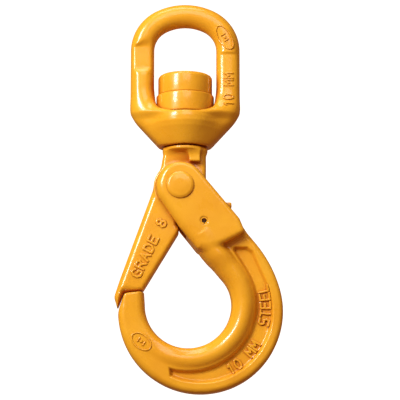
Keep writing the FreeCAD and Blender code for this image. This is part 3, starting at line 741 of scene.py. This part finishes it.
def metal_nodes(name, colour, rough):
    """Bare ground or drawn steel or brass with fine scratches and a little oil staining."""
    material = bpy.data.materials.new(name)
    material.use_nodes = True
    tree = material.node_tree
    nodes = tree.nodes
    links = tree.links
    shader = nodes["Principled BSDF"]
    place = nodes.new("ShaderNodeTexCoord")
    grain = nodes.new("ShaderNodeTexNoise")
    grain.inputs["Scale"].default_value = 420
    grain.inputs["Detail"].default_value = 5
    links.new(place.outputs["Object"], grain.inputs["Vector"])
    stain = nodes.new("ShaderNodeTexNoise")
    stain.inputs["Scale"].default_value = 60
    links.new(place.outputs["Object"], stain.inputs["Vector"])
    tint = nodes.new("ShaderNodeValToRGB")
    tint.color_ramp.elements[0].position = 0.35
    tint.color_ramp.elements[0].color = tuple(c * 0.7 for c in colour[:3]) + (1,)
    tint.color_ramp.elements[1].position = 0.65
    tint.color_ramp.elements[1].color = colour
    links.new(stain.outputs["Fac"], tint.inputs["Fac"])
    links.new(tint.outputs["Color"], shader.inputs["Base Color"])
    level = nodes.new("ShaderNodeMapRange")
    level.inputs["To Min"].default_value = rough * 0.75
    level.inputs["To Max"].default_value = rough * 1.3
    links.new(grain.outputs["Fac"], level.inputs["Value"])
    links.new(level.outputs["Result"], shader.inputs["Roughness"])
    shader.inputs["Metallic"].default_value = 1.0
    bump = nodes.new("ShaderNodeBump")
    bump.inputs["Strength"].default_value = 0.15
    bump.inputs["Distance"].default_value = 0.0002
    links.new(grain.outputs["Fac"], bump.inputs["Height"])
    links.new(bump.outputs["Normal"], shader.inputs["Normal"])
    return material


GOLD = (0.89, 0.44, 0.022, 1)
# painted shade: dark red-brown colours blended into creases (by pointiness) and nooks (by ambient
# occlusion)
PAINTED_CREASE_SHADE = (0.30, 0.075, 0.004, 1)
PAINTED_NOOK_SHADE = (0.55, 0.14, 0.007, 1)
coat = coat_nodes("powder_coat_gold", GOLD, PAINTED_CREASE_SHADE, PAINTED_NOOK_SHADE)
steel = metal_nodes("ground_steel", (0.62, 0.62, 0.64, 1), 0.25)
spring_steel = metal_nodes("oiled_spring_steel", (0.2, 0.19, 0.18, 1), 0.38)
brass = metal_nodes("cage_brass", (0.72, 0.5, 0.2, 1), 0.32)
for thing in (hook, gate, link, lever, nut, cup, rivet, *marks):
    thing.data.materials.append(coat)
CARRIED = {
    "bearing_race_lower": steel,
    "bearing_race_upper": steel,
    "bearing_balls": steel,
    "bearing_cage": brass,
    "nut_lock_pin": spring_steel,
    "trigger_pin": coat,
    "trigger_spring": spring_steel,
}
for name, material in CARRIED.items():
    node = bpy.data.objects[name]
    for socket in node.material_slots:
        socket.link = "OBJECT"
        socket.material = material

# ---------------------------------------------------------------- stage, camera and light

scene = bpy.context.scene
scene.view_settings.view_transform = "Standard"
camera = bpy.data.objects.new("camera", bpy.data.cameras.new("camera"))
scene.collection.objects.link(camera)
scene.camera = camera
camera.data.sensor_width = 36
camera.data.lens = 162
camera.location = (0, -1.18, -0.3437)
aim = Vector((0.0100, 0, -0.119)) - camera.location
camera.rotation_euler = aim.to_track_quat("-Z", "Y").to_euler()


def panel_light(name, place, target, size, power):
    """A white rectangular lamp at place that faces target; size in metres, power in watts."""
    data = bpy.data.lights.new(name, "AREA")
    data.shape = "RECTANGLE"
    data.size, data.size_y = size
    data.energy = power
    lamp = bpy.data.objects.new(name, data)
    lamp.location = place
    direction = Vector(target) - lamp.location
    lamp.rotation_euler = direction.to_track_quat("-Z", "Y").to_euler()
    scene.collection.objects.link(lamp)
    return lamp


MIDDLE = (0, 0, -0.12)
panel_light("key", (-0.8, -0.95, 0.5), MIDDLE, (0.3, 0.6), 18.5)
panel_light("front_fill", (0.15, -1.4, 0.8), MIDDLE, (0.9, 0.8), 6.5)
panel_light("top", (-0.1, -0.3, 0.9), (0, 0, -0.1), (0.6, 0.4), 3)
back = panel_light("back", (0.0, 1.5, 0.4), MIDDLE, (1.2, 0.8), 16)
back.visible_glossy = False

world = bpy.data.worlds.new("studio")
world.use_nodes = True
world.node_tree.nodes["Background"].inputs["Color"].default_value = (1.0, 0.5, 0.26, 1)
world.node_tree.nodes["Background"].inputs["Strength"].default_value = 0.25
scene.world = world

# the backdrop: a closed dome of revolution through (radius, height) rings, in metres
DOME = [(0.4, -0.62), (2.4, -0.62), (3.0, -0.45), (3.3, 0.1), (3.3, 2.2), (0.4, 3.4)]
SEGMENTS = 48
TURNS = [2 * math.pi * i / SEGMENTS for i in range(SEGMENTS)]
mesh = bpy.data.meshes.new("backdrop")
shell = bmesh.new()
rings = []
for radius, height in DOME:
    rings.append([shell.verts.new((radius * math.cos(t), radius * math.sin(t), height)) for t in TURNS])
for a, b in zip(rings, rings[1:]):
    for i in range(SEGMENTS):
        shell.faces.new((a[i - 1], a[i], b[i], b[i - 1]))
shell.faces.new(rings[0])
shell.faces.new(rings[-1])
shell.to_mesh(mesh)
shell.free()
backdrop = bpy.data.objects.new("backdrop", mesh)
scene.collection.objects.link(backdrop)
pale = bpy.data.materials.new("pale")
pale.use_nodes = True
pale_shader = pale.node_tree.nodes["Principled BSDF"]
pale_shader.inputs["Base Color"].default_value = (0.9, 0.9, 0.9, 1)
pale_shader.inputs["Roughness"].default_value = 0.9
pale_shader.inputs["Emission Color"].default_value = (1, 1, 1, 1)
pale_shader.inputs["Emission Strength"].default_value = 1.0
backdrop.visible_diffuse = False
backdrop.visible_glossy = False
backdrop.visible_shadow = False
mesh.materials.append(pale)
